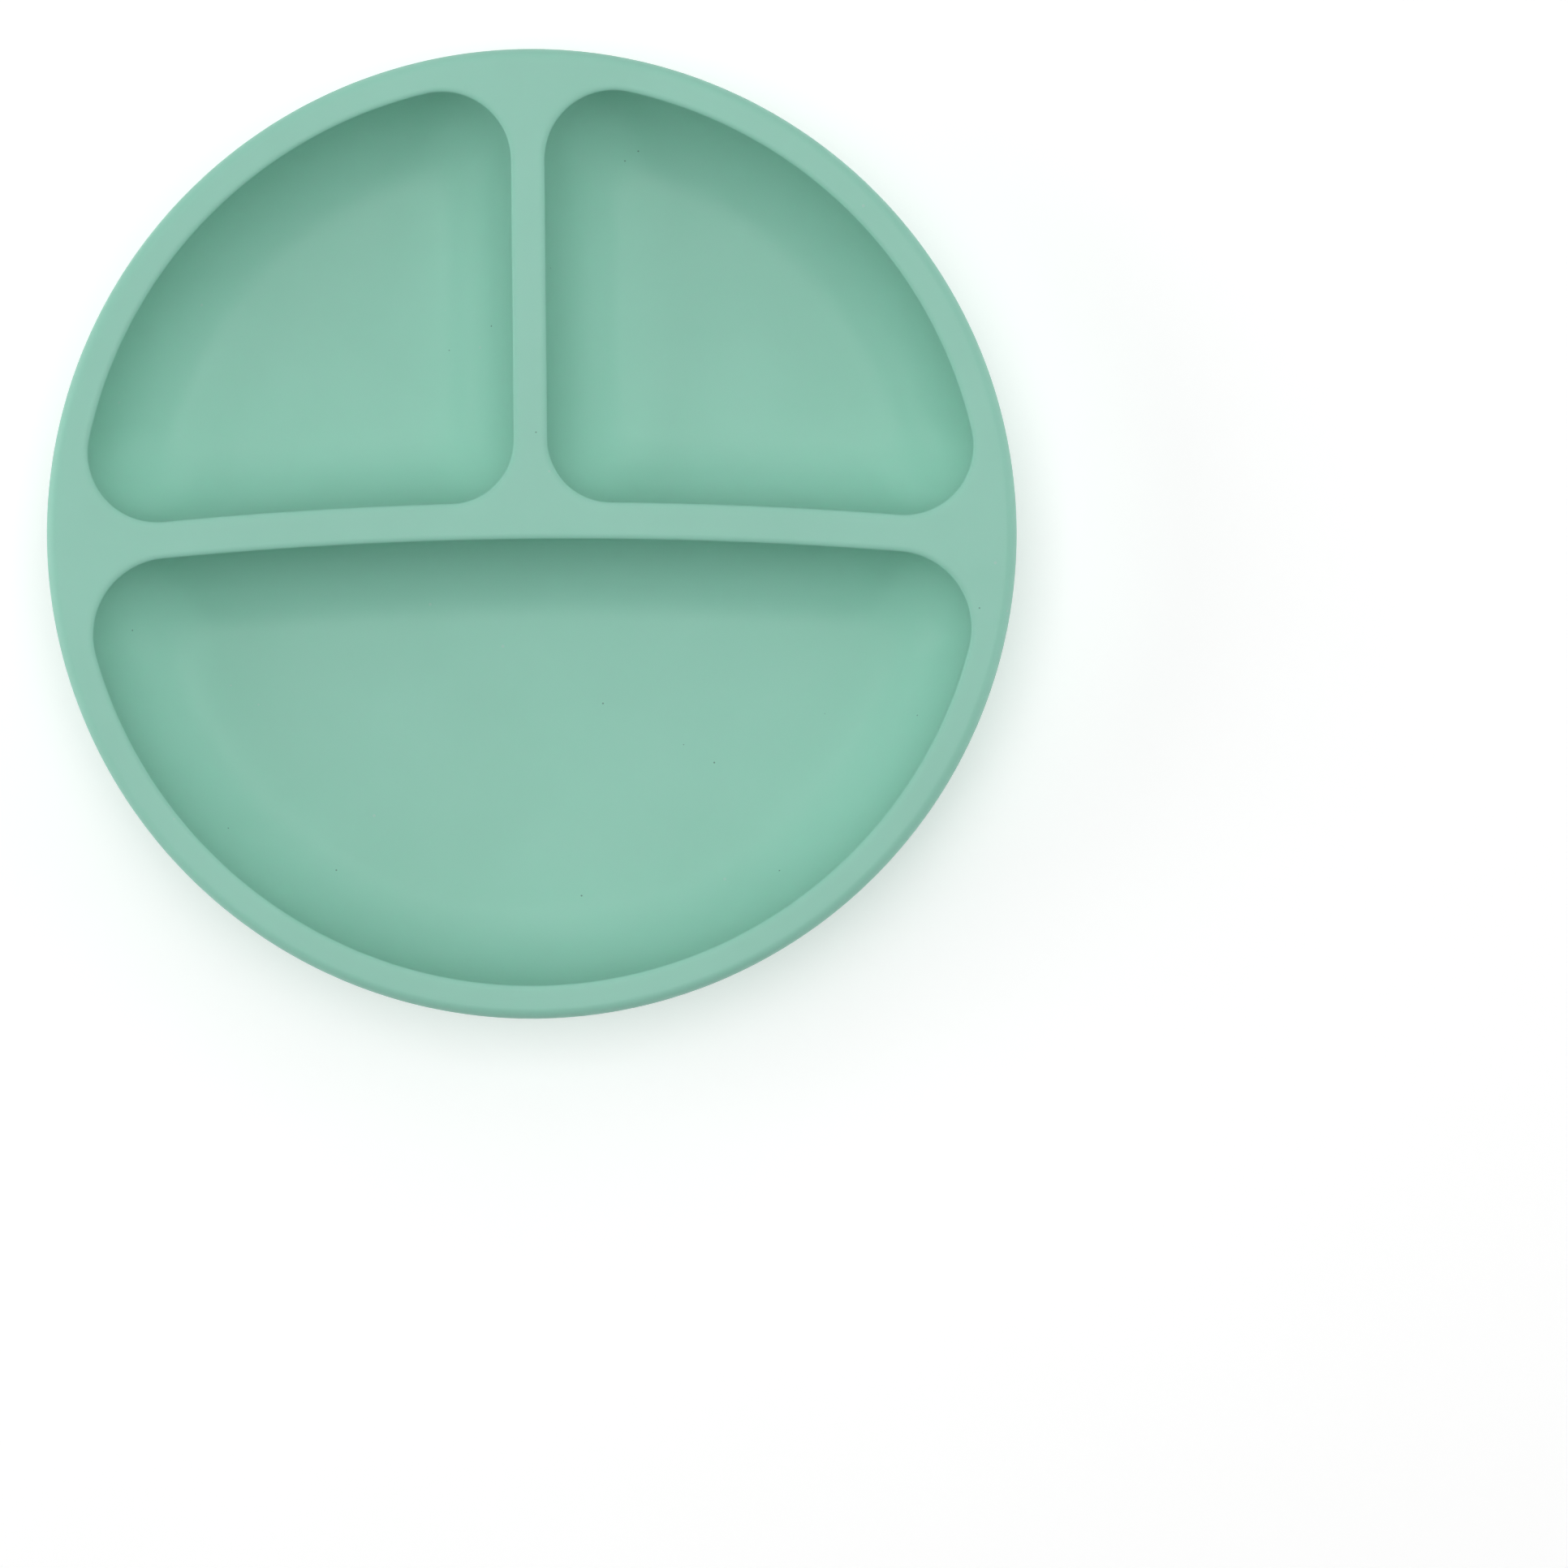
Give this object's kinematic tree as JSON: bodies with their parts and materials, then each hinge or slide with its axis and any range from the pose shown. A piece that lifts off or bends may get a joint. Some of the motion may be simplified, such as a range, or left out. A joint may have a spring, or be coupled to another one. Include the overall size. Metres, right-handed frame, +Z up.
{
  "type": "divided suction plate",
  "caption": "Round shallow silicone toddler plate with a T-shaped divider, half-moon and quarter compartments, and suction cups underneath.",
  "frame": {"origin": "on the table under the middle of the plate, in the plane of the four cup lips", "axes": "+Z up out of the bowls; +Y to the back, where the two quarter bowls are; +X to the right; the plate is mirror-symmetric about the YZ plane"},
  "size_m": [0.19, 0.19, 0.03],
  "materials": {
    "plate_silicone": "matte mint silicone",
    "cup_silicone": "glossy, slightly clearer mint silicone"
  },
  "bodies": {
    "plate": {"divided_deck": "plate_silicone", "rim_ring": "plate_silicone", "bowl_front": "plate_silicone", "bowl_back_left": "plate_silicone", "bowl_back_right": "plate_silicone", "cross_tie_back_outer": "plate_silicone", "cross_tie_back_inner": "plate_silicone", "cross_tie_left_inner": "plate_silicone", "cross_tie_left_outer": "plate_silicone", "cross_tie_right_inner": "plate_silicone", "cross_tie_right_outer": "plate_silicone", "grip_rib_front": "plate_silicone", "grip_rib_back_left": "plate_silicone", "grip_rib_back_right": "plate_silicone", "cup_stem_front_left": "cup_silicone", "cup_stem_front_right": "cup_silicone", "cup_stem_back_left": "cup_silicone", "cup_stem_back_right": "cup_silicone"},
    "cup_front_left": {"suction_cup_front_left": "cup_silicone"},
    "cup_front_right": {"suction_cup_front_right": "cup_silicone"},
    "cup_back_left": {"suction_cup_back_left": "cup_silicone"},
    "cup_back_right": {"suction_cup_back_right": "cup_silicone"}
  },
  "joints": [
    {"name": "press_front_left", "type": "slide", "parent": "plate", "child": "cup_front_left", "axis": [0, 0, 1], "range_m": [0, 0.002], "stiffness_N_per_m": 200, "springref_m": -0.004},
    {"name": "press_front_right", "type": "slide", "parent": "plate", "child": "cup_front_right", "axis": [0, 0, 1], "range_m": [0, 0.002], "stiffness_N_per_m": 200, "springref_m": -0.004},
    {"name": "press_back_left", "type": "slide", "parent": "plate", "child": "cup_back_left", "axis": [0, 0, 1], "range_m": [0, 0.002], "stiffness_N_per_m": 200, "springref_m": -0.004},
    {"name": "press_back_right", "type": "slide", "parent": "plate", "child": "cup_back_right", "axis": [0, 0, 1], "range_m": [0, 0.002], "stiffness_N_per_m": 200, "springref_m": -0.004}
  ]
}
